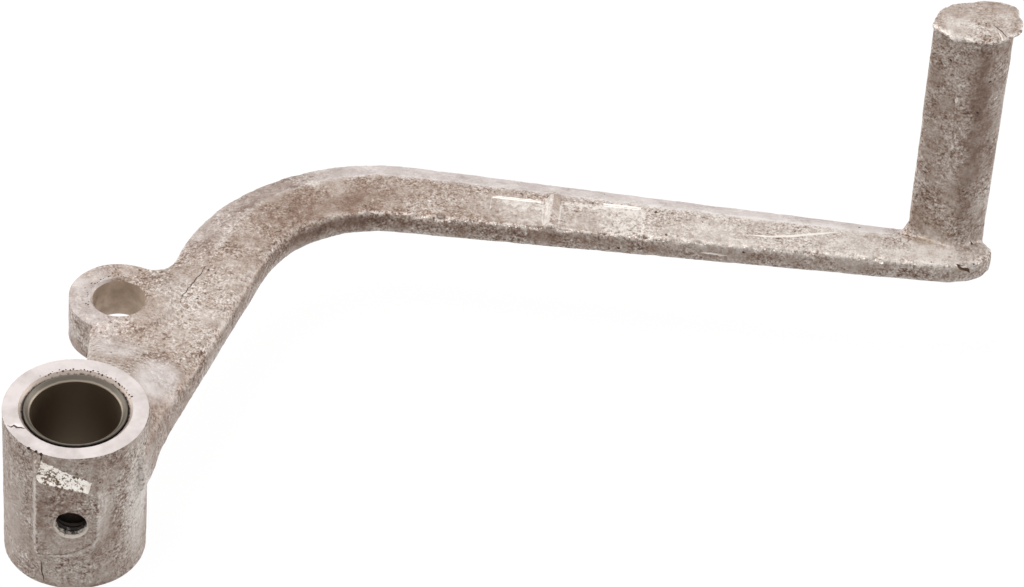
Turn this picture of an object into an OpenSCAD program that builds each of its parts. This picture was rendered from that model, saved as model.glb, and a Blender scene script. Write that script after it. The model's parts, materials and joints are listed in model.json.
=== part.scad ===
// Motorcycle brake lever: one aluminium casting with a pressed-in steel pivot bush.
// Millimetres. The origin is the middle of the pivot bore, half way up the hub.
// +Z runs up the pivot axis and the foot peg, +X runs along the straight run of the arm.
// The modules measure heights from the lower end face of the hub; the two sub-parts shift them.

/* [Hub] */
// Outer diameter of the hub at its upper end face
hub_d = 32; // [31:0.5:34]
// Outer diameter of the hub at its lower end, less by the casting draft
hub_base_d = 31.4; // [30.6:0.2:31.8]
// Height of the hub
hub_h = 39.4; // [38:0.2:40]

/* [Pivot bush] */
// Outer diameter of the bush and of its seat in the hub
bush_d = 23; // [22.5:0.5:24]
// Inner diameter of the bush, which is the pivot bore
pivot_d = 20; // [18:0.5:20.5]
// Depth of the bush ends below the hub faces
bush_recess = 0.3; // [0.1:0.1:0.6]
// Diameter of the grease hole through the wall of the bush
grease_d = 3; // [2:0.5:4]

/* [Grease pad] */
// Distance of the flat face of the pad from the pivot axis
pad_y = 16.7; // [16.4:0.1:17.5]
// Core diameter of the tapped hole in the pad
tap_d = 6.65; // [5:0.05:7]
// Diameter of the countersink at the mouth of the tapped hole
tap_sink_d = 8.2; // [8:0.1:9]
// Distance of the bottom of the tapped hole from the pivot axis
tap_bottom = 12.3; // [12.1:0.1:13]
// Height of the tapped hole above the lower end face of the hub
tap_z = 20.0; // [18:0.2:20.4]
// Direction that the pad faces, in degrees from -Y towards +X
pad_angle = 5.8; // [0:0.2:10]

/* [Rod eye] */
// Distance of the eye from the pivot axis along X
eye_x = 2.6; // [1.6:0.2:3.6]
// Distance of the eye from the pivot axis along Y
eye_y = 45; // [44:0.5:46]
// Outer diameter of the eye
eye_d = 22.6; // [22:0.2:24]
// Diameter of the hole in the eye
eye_bore_d = 12; // [10:0.5:13]
// Thickness of the eye
eye_t = 10.5; // [9:0.5:11]

/* [Arm] */
// Height of the upper face of the arm above the lower end face of the hub
arm_top = 31.7; // [31:0.1:32]
// Thickness of the arm on its straight run
arm_t = 6.3; // [5.5:0.1:7]
// Thickness of the arm beside the hub
arm_root_t = 10.2; // [9:0.1:10.5]
// Direction of the first leg, in degrees from +X
leg_angle = 75.2; // [74.5:0.1:75.8]
// Radius of the inner edge of the bend
bend_in_r = 28; // [24:1:30]
// Radius of the outer edge of the bend
bend_out_r = 48.7; // [48:0.1:49.5]
// Distance of the free end of the arm from the pivot axis along X
arm_end_x = 197.6; // [197:0.2:200]

/* [Rib and panels] */
// Distance of the rib across the straight run from the pivot axis along X
rib_x = 95.9; // [95.7:0.1:96.1]
// Height of the rib above the arm
rib_h = 1.1; // [0.5:0.1:1.6]
// Depth of the two plain panels beside the rib
panel_depth = 0.2; // [0.1:0.1:0.4]
// Width of the panels across the arm
panel_w = 9.2; // [8:0.2:9.6]

/* [Foot peg] */
// Height of the top of the peg above the lower end face of the hub
peg_top = 92.6; // [85:0.1:100]
// Growth of the peg section from its foot to its top
peg_draft = 1.04; // [1:0.01:1.08]
// Thickness of the ragged cap that flares out at the top of the peg
cap_t = 1.3; // [1:0.1:2]

/* [Hidden] */
$fn = 96;
eps = 0.01;
cast_colour = "#b3a79e";
steel_colour = "#6f6a60";

// Edge breaks
hub_chamfer = 0.5;
seat_chamfer = 1.0;
bush_chamfer = 1.0;
bush_lead_in = 0.2;
eye_chamfer = 0.5;
eye_low_chamfer = 0.2;

// Grease pad: each plate is a rounded rectangle as [x0, x1, z0, z1], how far it stands behind
// the flat face, and the radius of its lower right corner
pad_plates = [
    [[-7.7, 5.6, 10.3, 31.0], 0, 5.5],
    [[-8.1, 7.2, 9.6, 37.6], 1.5, 6],
    [[-8.1, 8.4, 8.8, 37.6], 4.5, 6]
];
pad_plate_t = 0.2;
pad_corner_r = 1.2;

// Rod eye, with the fillet that runs from it into the outer edge of the arm
eye = [eye_x, eye_y];
eye_r = eye_d / 2;
spot_face_h = 1.0;
eye_flush = 0.85;
eye_flush_r = [12, 17];
eye_top = arm_top + spot_face_h;
valley_r = 8.5;

// Inner edge of the leg: a line past the pivot axis, nearly tangent to the hub, that flares there
leg_in_x = 16.2;
leg_dir = [cos(leg_angle), sin(leg_angle)];
leg_first_y = -6;
flare_w = 1.4;
flare_y = 14;

// Inner edge of the straight run, from the bend to the near corner of the end
run_in = [60, 84.6];
run_in_angle = 1.25;
run_in_dir = [cos(run_in_angle), sin(run_in_angle)];

// Outer edge of the bend and of the straight run
bend_c = [61.2, 56.4];
run_out_angle = -1.9;
run_out_dir = [cos(run_out_angle), sin(run_out_angle)];

// Left edge of the web between the hub and the eye
web_a = [0.6, 8];
web_b = [-2.6, 36.2];

// End of the arm: radii along X and Y of its near and far corners
end_near_r = [11, 7.8];
end_far_r = [6, 5];

// Ramp that carries the upper face of the web up to the hub face
ramp_h = 7.3;
ramp_from_r = 15.5;
ramp_to_r = 34;
ramp_power = 1.3;
ramp_edge_loss = 0.55;
ramp_edge_share = 0.625;

// Stations of the arm: 0 at the hub, 1 at the valley, 2 past the bend, 3 at the end
underside_rise = [[0, 0], [0.25, 0.4], [1, 0.7], [2, 1], [3, 1.08]];
inner_edge_r = [[0, 3.6], [1, 2.6], [1.6, 1.4], [2, 0.8], [3, 0.8]];
bevel_w = [[0, 1.6], [0.9, 2], [1.15, 5], [1.5, 7], [2, 7], [3, 5.4]];
bevel_drop = [[0, 0.3], [0.9, 0.4], [1.2, 1.3], [1.6, 2.2], [2, 2.2], [3, 1.7]];

// Edges of the arm's section: radii below and at the outer edge, half the width of the blunt
// crest over the bevel, and how much of a narrow section the edges may take
edge_low_r = 1.5;
edge_out_r = 0.8;
crest_w = 0.6;
bevel_share = 0.45;
low_share = 0.4;
full_section_w = 8;

function unit(v) = v / norm(v);
function dir(a) = [cos(a), sin(a)];
function angle_of(v) = atan2(v.y, v.x);
function mix(a, b, k) = a + (b - a) * k;
function clamp01(k) = max(0, min(1, k));
function smooth(k) = k * k * (3 - 2 * k);

// Points of an arc about c from angle a0 to a1, in n steps
function arc(c, r, a0, a1, n) = [for (i = [0:n]) c + r * dir(mix(a0, a1, i / n))];

// Point where the line from p along u meets the line from q along v
function meet(p, u, q, v) =
    let (d = u.x * v.y - u.y * v.x, w = q - p)
    p + u * (w.x * v.y - w.y * v.x) / d;

// Centre of the circle of radius r that touches the circles (c1, r1) and (c2, r2) from outside
function touch_centre(c1, r1, c2, r2, r) =
    let (
        d = norm(c2 - c1),
        a = (pow(r1 + r, 2) - pow(r2 + r, 2) + d * d) / (2 * d),
        h = sqrt(pow(r1 + r, 2) - a * a),
        u = unit(c2 - c1)
    )
    c1 + a * u + h * [-u.y, u.x];

// Outline of a convex polygon with corner i rounded to radius radii[i], in n steps
function round_poly(corners, radii, n) = [
    for (i = [0:len(corners) - 1])
        let (
            count = len(corners),
            p = corners[i],
            u = unit(corners[(i + count - 1) % count] - p),
            v = unit(corners[(i + 1) % count] - p),
            half = acos(u * v) / 2,
            c = p + unit(u + v) * radii[i] / sin(half),
            a0 = angle_of(p + u * radii[i] / tan(half) - c),
            turn = angle_of(p + v * radii[i] / tan(half) - c) - a0,
            sweep = turn > 180 ? turn - 360 : (turn < -180 ? turn + 360 : turn)
        )
        each arc(c, radii[i], a0, a0 + sweep, n)
];

// Closed solid through rings that all have the same number of points
module skin(rings) {
    n = len(rings[0]);
    last = (len(rings) - 1) * n;
    points = [for (ring = rings) each ring];
    sides = [
        for (i = [0:len(rings) - 2], j = [0:n - 1])
            let (a = i * n + j, b = i * n + (j + 1) % n)
            each [[a, b, b + n], [a, b + n, a + n]]
    ];
    first_cap = [for (j = [n - 1:-1:0]) j];
    last_cap = [for (j = [0:n - 1]) last + j];
    polyhedron(points, concat([first_cap], sides, [last_cap]), convexity = 6);
}

// Inner edge of the arm
bend_in_corner = meet([leg_in_x, 0], leg_dir, run_in, run_in_dir);
bend_in_tangent = bend_in_r * tan((leg_angle - run_in_angle) / 2);
bend_in_start = bend_in_corner - bend_in_tangent * leg_dir;
bend_in_c = bend_in_start + bend_in_r * dir(leg_angle - 90);
function leg_in(y) = [leg_in_x + flare_w * pow(clamp01(1 - y / flare_y), 2), 0] + leg_dir * (y / leg_dir.y);

// Outer edge of the arm
valley_c = touch_centre(eye, eye_r, bend_c, bend_out_r, valley_r);
valley_a0 = angle_of(eye - valley_c);
valley_a1 = angle_of(bend_c - valley_c);
bend_out_a0 = angle_of(valley_c - bend_c);
bend_out_a1 = run_out_angle + 90;
bend_out_end = bend_c + bend_out_r * dir(bend_out_a1);
end_start_x = arm_end_x - end_near_r.x;
function run_in_at(x) = run_in + run_in_dir * ((x - run_in.x) / run_in_dir.x);
function run_out_at(x) = bend_out_end + run_out_dir * ((x - bend_out_end.x) / run_out_dir.x);

// How far the upper face over the point p stands above the arm's own level: the raised plane
// round the eye and the ramp up to the hub. The ramp fades towards the inner edge.
function rise(p, across) =
    let (
        ramp = pow(clamp01((ramp_to_r - norm(p)) / (ramp_to_r - ramp_from_r)), ramp_power),
        fade = 1 - ramp_edge_loss * pow(1 - clamp01(across / ramp_edge_share), 2),
        plane = smooth(clamp01((eye_flush_r[1] - norm(p - eye)) / (eye_flush_r[1] - eye_flush_r[0])))
    )
    max(ramp_h * ramp * fade, eye_flush * plane);

// Section of the arm between the inner edge point a and the outer edge point b, station s
function arm_section(a, b, s) =
    let (
        w = norm(b - a),
        u = unit(b - a),
        bottom = arm_top - mix(arm_root_t, arm_t, lookup(s, underside_rise)),
        in_r = lookup(s, inner_edge_r) * min(1, w / full_section_w),
        bev_w = min(lookup(s, bevel_w), w * bevel_share),
        drop = lookup(s, bevel_drop),
        low_w = min(edge_low_r, w * low_share),
        ridge = w - bev_w,
        round_n = 3,
        flat_n = 4,
        crest_n = 2,
        profile = concat(
            [for (i = [0:round_n]) let (t = 90 * i / round_n)
                [low_w * (1 - sin(t)), bottom + edge_low_r * (1 - cos(t))]],
            [for (i = [0:round_n]) let (t = 90 * i / round_n)
                [in_r * (1 - cos(t)), arm_top - in_r * (1 - sin(t)) + rise(a + u * in_r * (1 - cos(t)), 0)]],
            [for (i = [1:flat_n]) let (x = mix(in_r, ridge - crest_w, i / flat_n))
                [x, arm_top + rise(a + u * x, x / w)]],
            [[ridge + crest_w, arm_top - drop * crest_w / bev_w + rise(a + u * (ridge + crest_w), 1)]],
            [for (i = [0:crest_n]) let (t = 90 * i / crest_n)
                [w - edge_out_r * (1 - sin(t)), arm_top - drop - edge_out_r * (1 - cos(t)) + rise(b, 1)]],
            [for (i = [0:round_n]) let (t = 90 * i / round_n)
                [w - low_w * (1 - cos(t)), bottom + edge_low_r * (1 - sin(t))]]
        )
    )
    [for (q = profile) [a.x + u.x * q.x, a.y + u.y * q.x, q.y]];

// Rows of the arm as [inner point, outer point, station], zone by zone: the web beside the hub,
// the stretch behind the eye, the valley past it, the bend, the straight run and the tip
web_n = 9;
eye_n = 6;
valley_n = 9;
bend_n = 24;
run_n = 6;
tip_n = 8;
leg_eye_y = 31;
leg_valley_y = 49;
leg_bend_y = 58;
web_station = 0.6;
valley_station = 1.15;
bend_split = 0.16;
eye_tuck = 2.2;
run_gap = 2;
web_rows = [for (i = [0:web_n]) let (k = i / web_n)
    [leg_in(mix(leg_first_y, leg_eye_y, k)), mix(web_a, web_b, k), web_station * k]];
eye_rows = [for (i = [1:eye_n]) let (k = i / eye_n)
    [leg_in(mix(leg_eye_y, leg_valley_y, k)),
     mix(web_b, valley_c + valley_r * dir(valley_a0), k) - [eye_tuck * sin(180 * k), 0],
     mix(web_station, 1, k)]];
valley_rows = [for (i = [1:valley_n]) let (k = i / valley_n)
    [leg_in(mix(leg_valley_y, leg_bend_y, k)),
     valley_c + valley_r * dir(mix(valley_a0, valley_a1, k)), mix(1, valley_station, k)]];
function bend_in_at(k) = k < bend_split
    ? mix(leg_in(leg_bend_y), bend_in_start, k / bend_split)
    : bend_in_c + bend_in_r * dir(mix(leg_angle + 90, run_in_angle + 90,
        (k - bend_split) / (1 - bend_split)));
bend_rows = [for (i = [1:bend_n]) let (k = i / bend_n)
    [bend_in_at(k), bend_c + bend_out_r * dir(mix(bend_out_a0, bend_out_a1, k)),
     mix(valley_station, 2, k)]];
run_rows = [for (i = [1:run_n]) let (x = mix(bend_out_end.x + run_gap, end_start_x, i / run_n))
    [run_in_at(x), run_out_at(x), 2 + i / run_n]];
tip_rows = [for (i = [1:tip_n])
    let (
        t = 90 * i / tip_n,
        x = end_start_x + end_near_r.x * sin(t),
        far = max(0, x - (arm_end_x - end_far_r.x)) / end_far_r.x
    )
    [run_in_at(x) + [0, end_near_r.y * (1 - cos(t))],
     run_out_at(x) - [0, end_far_r.y * (1 - sqrt(max(0, 1 - far * far)))], 3]];
arm_rows = concat(web_rows, eye_rows, valley_rows, bend_rows, run_rows, tip_rows);

// Foot peg: a blunt D in section, its flatter side towards the pivot, with a soft crease
peg_corners = [[177.5, 98.6], [178.9, 104.6], [188.2, 109], [194.6, 106.4], [195.4, 99.4], [189.2, 94.4]];
peg_radii = [1.2, 4.5, 7, 3.6, 3.2, 4];
peg_c = [186.5, 100.6];
peg_outline = round_poly(peg_corners, peg_radii, 6);

// Root of the peg inside the arm, and the fillet at its foot, which is full in front of the
// flatter side and runs out round the back
peg_root_scale = 0.94;
peg_root_lift = 0.6;
peg_root_h = 0.7;
peg_neck_depth = 2.6;
peg_foot_r = 2.6;
peg_foot_sink = 0.4;
foot_fillet_n = 4;
function foot_share(u) = clamp01(0.1 - 0.3 * u.x - u.y);
function grow(outline, c, by) = [for (p = outline) let (u = unit(p - c)) p + u * by * foot_share(u)];
function scaled(outline, c, f) = [for (p = outline) c + (p - c) * f];
function level(outline, z) = [for (p = outline) [p.x, p.y, z]];

// Cap of the peg: its own outline, which overhangs most in front of the flatter side
cap_corners = [
    [176.6, 97.8], [178.4, 105.6], [189.6, 110], [196.6, 108],
    [197.8, 99.6], [190.8, 93.4], [182, 94]
];
cap_radii = [1, 5, 8, 4, 4, 5, 4];
cap_outline = round_poly(cap_corners, cap_radii, 5);
cap_lip_t = 0.3;
cap_under_scale = 0.95;
cap_top_scale = 0.9;

// Rib across the arm: half widths of its foot and crest, and how far it ends from the edges
rib_half_w = [1.7, 0.25];
rib_sink = 0.3;
rib_near_gap = 0.4;
rib_far_gap = 6.0;

// Spans of the panels along X, and how far they start behind the near edge of the arm
panel_spans = [[81.2, 94.2], [97.6, 117.2]];
panel_near_gap = 0.9;

module hub() {
    r0 = hub_base_d / 2;
    r1 = hub_d / 2;
    rotate_extrude()
        polygon([
            [0, 0], [r0 - hub_chamfer, 0], [r0, hub_chamfer],
            [r1, hub_h - hub_chamfer / 2], [r1 - hub_chamfer / 2, hub_h], [0, hub_h]
        ]);
}

// Upright rounded rectangle of the pad at distance y in front of the axis
module pad_plate(box, y, big_r) {
    r = pad_corner_r;
    corners = [
        [box[0] + r, box[2] + r, r], [box[0] + r, box[3] - r, r],
        [box[1] - r, box[3] - r, r], [box[1] - big_r, box[2] + big_r, big_r]
    ];
    for (corner = corners)
        translate([corner[0], -y + pad_plate_t, corner[1]])
            rotate([90, 0, 0])
                cylinder(r = corner[2], h = pad_plate_t, $fn = 24);
}

module pad() {
    hull()
        for (plate = pad_plates)
            pad_plate(plate[0], pad_y - plate[1], plate[2]);
}

// Rod eye with its spot face a little proud of the arm
module eye_boss() {
    translate([eye.x, eye.y, eye_top - eye_t])
        cylinder(d = eye_d, h = eye_t);
}

// The swept arm from the web beside the hub to the tip under the peg
module arm() {
    skin([for (row = arm_rows) arm_section(row[0], row[1], row[2])]);
}

module peg() {
    root_z = arm_top - arm_t + peg_root_lift;
    foot_z = arm_top - peg_foot_sink;
    foot = [for (i = [0:foot_fillet_n]) let (t = 90 * i / foot_fillet_n)
        level(grow(peg_outline, peg_c, peg_foot_r * (1 - sin(t))), foot_z + peg_foot_r * (1 - cos(t)))];
    skin(concat(
        [level(scaled(peg_outline, peg_c, peg_root_scale), root_z)],
        [level(peg_outline, root_z + peg_root_h)],
        [level(peg_outline, arm_top - peg_neck_depth)],
        foot,
        [level(scaled(peg_outline, peg_c, peg_draft), peg_top - cap_t / 2)]
    ));
}

module peg_cap() {
    skin([
        level(scaled(cap_outline, peg_c, cap_under_scale), peg_top - cap_t),
        level(cap_outline, peg_top - cap_t + cap_lip_t),
        level(cap_outline, peg_top - cap_lip_t),
        level(scaled(cap_outline, peg_c, cap_top_scale), peg_top)
    ]);
}

// Small cast rib across the upper face of the straight run
module rib() {
    near_y = run_in_at(rib_x).y + rib_near_gap;
    far_y = run_out_at(rib_x).y - rib_far_gap;
    foot = rib_half_w[0];
    crest = rib_half_w[1];
    translate([rib_x, far_y, arm_top - rib_sink])
        rotate([90, 0, 0])
            linear_extrude(far_y - near_y)
                polygon([[-foot, 0], [foot, 0], [crest, rib_h + rib_sink], [-crest, rib_h + rib_sink]]);
}

// Shallow plain panels either side of the rib, cut from above
module panels() {
    for (span = panel_spans)
        translate([span[0], run_in_at(span[0]).y + panel_near_gap, arm_top - panel_depth])
            cube([span[1] - span[0], panel_w, panel_depth + 1]);
}

// Conical edge break, d_mouth wide at the mouth, along +Z into the part
module sink(d_mouth, d_bore) {
    depth = (d_mouth - d_bore) / 2;
    translate([0, 0, -eps])
        cylinder(d1 = d_mouth + 2 * eps, d2 = d_bore, h = depth + eps);
}

// Bore along +Z through a part of height h, with an edge break at each end
module through_bore(d, h, low_break, high_break) {
    translate([0, 0, -1])
        cylinder(d = d, h = h + 2);
    sink(d + 2 * low_break, d);
    translate([0, 0, h])
        mirror([0, 0, 1])
            sink(d + 2 * high_break, d);
}

// Tapped hole of the pad, with the grease passage from its bottom to the seat of the bush
module grease_port() {
    translate([0, -pad_y, tap_z])
        rotate([-90, 0, 0]) {
            translate([0, 0, -1])
                cylinder(d = tap_d, h = pad_y - tap_bottom + 1);
            cylinder(d = grease_d, h = pad_y, $fn = 48);
            sink(tap_sink_d, tap_d);
        }
}

module lever_casting() {
    color(cast_colour)
        translate([0, 0, -hub_h / 2])
            difference() {
                union() {
                    hub();
                    rotate(pad_angle)
                        pad();
                    eye_boss();
                    arm();
                    peg();
                    peg_cap();
                    rib();
                }
                panels();
                through_bore(bush_d, hub_h, seat_chamfer, seat_chamfer);
                translate([eye.x, eye.y, eye_top - eye_t])
                    through_bore(eye_bore_d, eye_t, eye_low_chamfer, eye_chamfer);
                rotate(pad_angle)
                    grease_port();
            }
}

module pivot_bush() {
    ri = pivot_d / 2;
    ro = bush_d / 2;
    z0 = bush_recess;
    z1 = hub_h - bush_recess;
    color(steel_colour)
        translate([0, 0, -hub_h / 2])
            difference() {
                rotate_extrude()
                    polygon([
                        [ri, z0 + bush_chamfer], [ri + bush_chamfer, z0],
                        [ro - bush_lead_in, z0], [ro, z0 + bush_lead_in],
                        [ro, z1 - bush_lead_in], [ro - bush_lead_in, z1],
                        [ri + bush_chamfer, z1], [ri, z1 - bush_chamfer]
                    ]);
                rotate(pad_angle)
                    translate([0, 0, tap_z])
                        rotate([90, 0, 0])
                            cylinder(d = grease_d, h = bush_d, $fn = 48);
            }
}

lever_casting();
pivot_bush();
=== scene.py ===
"""Looks of a used foot brake lever: a weathered aluminium casting with a pressed-in steel bush.

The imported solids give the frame. The casting's solid is taken as the pattern: it is grown into a
blank with softened cast edges, and its skin is roughened, bruised and pitted. The blank is then
machined as the real one was, and each tool leaves its own finish on what it cuts. The bush keeps
its own solid and gets its turned steel.
"""

import json
import logging
import math
import random
from collections.abc import Iterable, Sequence
from dataclasses import dataclass, field
from enum import Enum
from typing import Any

import bpy
import numpy as np
from mathutils import Matrix, Vector, noise
from mathutils.bvhtree import BVHTree

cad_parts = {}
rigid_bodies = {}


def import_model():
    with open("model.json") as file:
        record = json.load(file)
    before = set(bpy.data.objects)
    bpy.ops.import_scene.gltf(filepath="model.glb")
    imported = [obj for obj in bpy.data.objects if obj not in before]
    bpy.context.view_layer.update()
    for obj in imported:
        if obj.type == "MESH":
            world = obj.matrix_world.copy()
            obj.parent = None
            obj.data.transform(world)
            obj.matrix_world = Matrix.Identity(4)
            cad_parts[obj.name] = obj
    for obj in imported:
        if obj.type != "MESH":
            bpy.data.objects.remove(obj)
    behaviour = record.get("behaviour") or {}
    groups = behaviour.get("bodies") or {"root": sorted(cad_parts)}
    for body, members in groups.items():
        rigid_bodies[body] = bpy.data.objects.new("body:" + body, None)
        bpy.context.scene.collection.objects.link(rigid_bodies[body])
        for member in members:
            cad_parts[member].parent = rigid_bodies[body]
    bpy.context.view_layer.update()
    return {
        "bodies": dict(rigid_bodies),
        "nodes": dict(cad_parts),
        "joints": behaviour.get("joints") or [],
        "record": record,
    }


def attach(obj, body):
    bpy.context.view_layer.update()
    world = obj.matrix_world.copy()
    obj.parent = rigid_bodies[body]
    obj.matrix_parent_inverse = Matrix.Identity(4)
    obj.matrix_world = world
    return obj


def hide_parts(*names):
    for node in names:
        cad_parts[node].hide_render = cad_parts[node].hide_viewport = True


log = logging.getLogger("brake_lever")

MM = 0.001
UP = (0.0, 0.0, 1.0)
WHITE = (1.0, 1.0, 1.0, 1.0)
Point = tuple[float, float, float]
Socket = bpy.types.NodeSocket
# Line of sight of the photograph, and how far before a marked place it is followed, in mm
SIGHT = Vector((-0.038, 0.749, -0.661))
SEEK = 4.0


def hex_to_linear(code: str) -> tuple[float, float, float, float]:
    """Turns an sRGB hex colour into linear light.

    Args:
        code: six hex digits with a leading hash.

    Returns:
        Red, green and blue in linear light, and full alpha.
    """
    parts = [int(code[i : i + 2], 16) / 255 for i in (1, 3, 5)]
    linear = [c / 12.92 if c <= 0.04045 else ((c + 0.055) / 1.055) ** 2.4 for c in parts]
    return (linear[0], linear[1], linear[2], 1.0)


def put(
    tree: bpy.types.NodeTree, kind: str, inputs: dict[Any, Any] | None = None, **settings: Any
) -> bpy.types.Node:
    """Adds a node, sets its properties and fills or links its inputs.

    Args:
        tree: the node tree that gets the node.
        kind: Blender's name of the node type.
        inputs: input name or number to a value or to an output socket.
        settings: properties of the node.

    Returns:
        The new node.
    """
    node = tree.nodes.new(kind)
    for key, value in settings.items():
        setattr(node, key, value)
    for key, value in (inputs or {}).items():
        if isinstance(value, bpy.types.NodeSocket):
            tree.links.new(value, node.inputs[key])
        else:
            node.inputs[key].default_value = value
    return node


class Nodes:
    """Short calls for the nodes that finishes and studio share, in one emptied node tree."""

    def __init__(self, owner: bpy.types.Material | bpy.types.World) -> None:
        """Takes over the node tree of a material or a world.

        Args:
            owner: the material or world.
        """
        owner.use_nodes = True
        self.tree = owner.node_tree
        self.tree.nodes.clear()

    def place(self) -> Socket:
        """Gives the point on the piece in millimetres, in the frame of the lever."""
        coordinates = put(self.tree, "ShaderNodeTexCoord")
        return self.vector("MULTIPLY", coordinates.outputs["Object"], (1 / MM, 1 / MM, 1 / MM))

    def math(self, operation: str, *values: Any, clamp: bool = False) -> Socket:
        """Works out a number from numbers."""
        inputs = dict(enumerate(values))
        return put(self.tree, "ShaderNodeMath", inputs, operation=operation, use_clamp=clamp).outputs[0]

    def vector(self, operation: str, *values: Any) -> Socket:
        """Works out a vector from vectors, or a number for LENGTH and DOT_PRODUCT."""
        node = put(self.tree, "ShaderNodeVectorMath", dict(enumerate(values)), operation=operation)
        return node.outputs["Value" if operation in ("LENGTH", "DOT_PRODUCT") else "Vector"]

    def from_axis(self, at: Socket, axis: Point = (0.0, 0.0, 0.0)) -> Socket:
        """Gives the distance of a place from an upright axis."""
        off = self.vector("SUBTRACT", at, axis)
        return self.vector("LENGTH", self.vector("MULTIPLY", off, (1, 1, 0)))

    def cloud(self, at: Socket, size: float, detail: float, roughness: float = 0.5) -> Socket:
        """Gives noise from 0 to 1 whose lumps are about size across."""
        inputs = {"Vector": at, "Scale": 1 / size, "Detail": detail, "Roughness": roughness}
        return put(self.tree, "ShaderNodeTexNoise", inputs).outputs["Fac"]

    def attribute(self, name: str) -> Socket:
        """Reads a number that the piece keeps for each of its points."""
        return put(self.tree, "ShaderNodeAttribute", attribute_name=name).outputs["Fac"]

    def span(self, value: Any, low: Any, high: Any, start: float = 0.0, end: float = 1.0) -> Socket:
        """Carries the range from low to high over to the range from start to end, and no further."""
        inputs = {"Value": value, "From Min": low, "From Max": high, "To Min": start, "To Max": end}
        return put(self.tree, "ShaderNodeMapRange", inputs).outputs[0]

    def blend(self, factor: Any, low: Socket | str, high: Socket | str) -> Socket:
        """Mixes two colours, each a socket or an sRGB hex colour.

        Args:
            factor: share of the second colour.
            low: the first colour.
            high: the second colour.

        Returns:
            The mixed colour.
        """
        pair = [hex_to_linear(tone) if isinstance(tone, str) else tone for tone in (low, high)]
        inputs = {"Factor": factor, 6: pair[0], 7: pair[1]}
        return put(self.tree, "ShaderNodeMix", inputs, data_type="RGBA").outputs[2]

    def tones(self, value: Socket, stops: Sequence[tuple[float, str]]) -> Socket:
        """Turns a number into a colour.

        Args:
            value: the number, from 0 to 1.
            stops: position and sRGB hex colour of each stop, upwards.

        Returns:
            The colour.
        """
        node = put(self.tree, "ShaderNodeValToRGB", {"Fac": value})
        elements = node.color_ramp.elements
        for i in (0, -1):
            elements[i].position, elements[i].color = stops[i][0], hex_to_linear(stops[i][1])
        for stop, tone in stops[1:-1]:
            elements.new(stop).color = hex_to_linear(tone)
        return node.outputs[0]

    def bump(self, height: Socket, distance_mm: float, strength: float = 0.5) -> Socket:
        """Gives the normal of a fine relief."""
        inputs = {"Height": height, "Strength": strength, "Distance": distance_mm * MM}
        return put(self.tree, "ShaderNodeBump", inputs).outputs[0]

    def metal(self, colour: Socket, metallic: float, roughness: Any, normal: Socket | None) -> None:
        """Ends the tree with a metal surface.

        Args:
            colour: its colour.
            metallic: how much of it is bare metal.
            roughness: a number or a socket.
            normal: its relief, or None where it is plain.
        """
        inputs = {"Base Color": colour, "Metallic": metallic, "Roughness": roughness}
        if normal:
            inputs["Normal"] = normal
        shader = put(self.tree, "ShaderNodeBsdfPrincipled", inputs)
        self.surface("ShaderNodeOutputMaterial", shader)

    def surface(self, output: str, shader: bpy.types.Node) -> None:
        """Leads a shader to the output of the tree."""
        put(self.tree, output, {"Surface": shader.outputs[0]})


def new_material(name: str) -> tuple[bpy.types.Material, Nodes]:
    """Makes a material with an empty node tree."""
    material = bpy.data.materials.new(name)
    return material, Nodes(material)


def new_object(name: str, verts: Any, faces: Iterable[Sequence[int]]) -> bpy.types.Object:
    """Makes a mesh object from points and faces and links it to the scene.

    Args:
        name: name of the object.
        verts: points, one row each.
        faces: point numbers of each face.

    Returns:
        The linked object.
    """
    mesh = bpy.data.meshes.new(name)
    mesh.from_pydata([tuple(map(float, v)) for v in verts], [], [tuple(map(int, f)) for f in faces])
    mesh.update()
    made = bpy.data.objects.new(name, mesh)
    bpy.context.scene.collection.objects.link(made)
    return made


def loft(name: str, rings: Sequence[np.ndarray]) -> bpy.types.Object:
    """Joins rings of equal length into one closed solid, with a fan of faces at each end.

    Args:
        name: name of the object.
        rings: points of each ring, counter-clockwise seen from the last ring.

    Returns:
        The closed solid.
    """
    n = len(rings[0])
    low, high = len(rings) * n, len(rings) * n + 1
    verts = np.concatenate([*rings, [rings[0].mean(0), rings[-1].mean(0)]])
    faces: list[tuple[int, ...]] = []
    last = (len(rings) - 1) * n
    for j in range(n):
        k = (j + 1) % n
        faces.append((low, k, j))
        faces.append((high, last + j, last + k))
        for i in range(len(rings) - 1):
            a, b = i * n + j, i * n + k
            faces.append((a, b, b + n, a + n))
    return new_object(name, verts, faces)


def lathe(name: str, profile: Sequence[tuple[float, float]], steps: int = 128) -> bpy.types.Object:
    """Turns a profile about +Z into a closed solid.

    Args:
        name: name of the object.
        profile: (radius, height) pairs, upwards.
        steps: number of steps round the axis.

    Returns:
        The turned object.
    """
    t = np.linspace(0, 2 * math.pi, steps, endpoint=False)
    circle = np.stack([np.cos(t), np.sin(t), np.zeros(steps)], 1)
    return loft(name, [circle * r + np.array([0, 0, z]) for r, z in profile])


def move(thing: bpy.types.Object, matrix: Matrix) -> bpy.types.Object:
    """Moves the points of an object and leaves the object at the origin."""
    thing.data.transform(matrix)
    return thing


def apply_modifiers(thing: bpy.types.Object) -> None:
    """Turns the modifiers of an object into its mesh.

    Args:
        thing: the object, which keeps none of its modifiers.
    """
    graph = bpy.context.evaluated_depsgraph_get()
    mesh = bpy.data.meshes.new_from_object(thing.evaluated_get(graph))
    old = thing.data
    thing.modifiers.clear()
    thing.data = mesh
    bpy.data.meshes.remove(old)


def discard(*things: bpy.types.Object) -> None:
    """Removes objects that only helped to make another.

    Args:
        things: the objects, removed with their meshes.
    """
    for thing in things:
        mesh = thing.data
        bpy.data.objects.remove(thing)
        bpy.data.meshes.remove(mesh)


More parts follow.
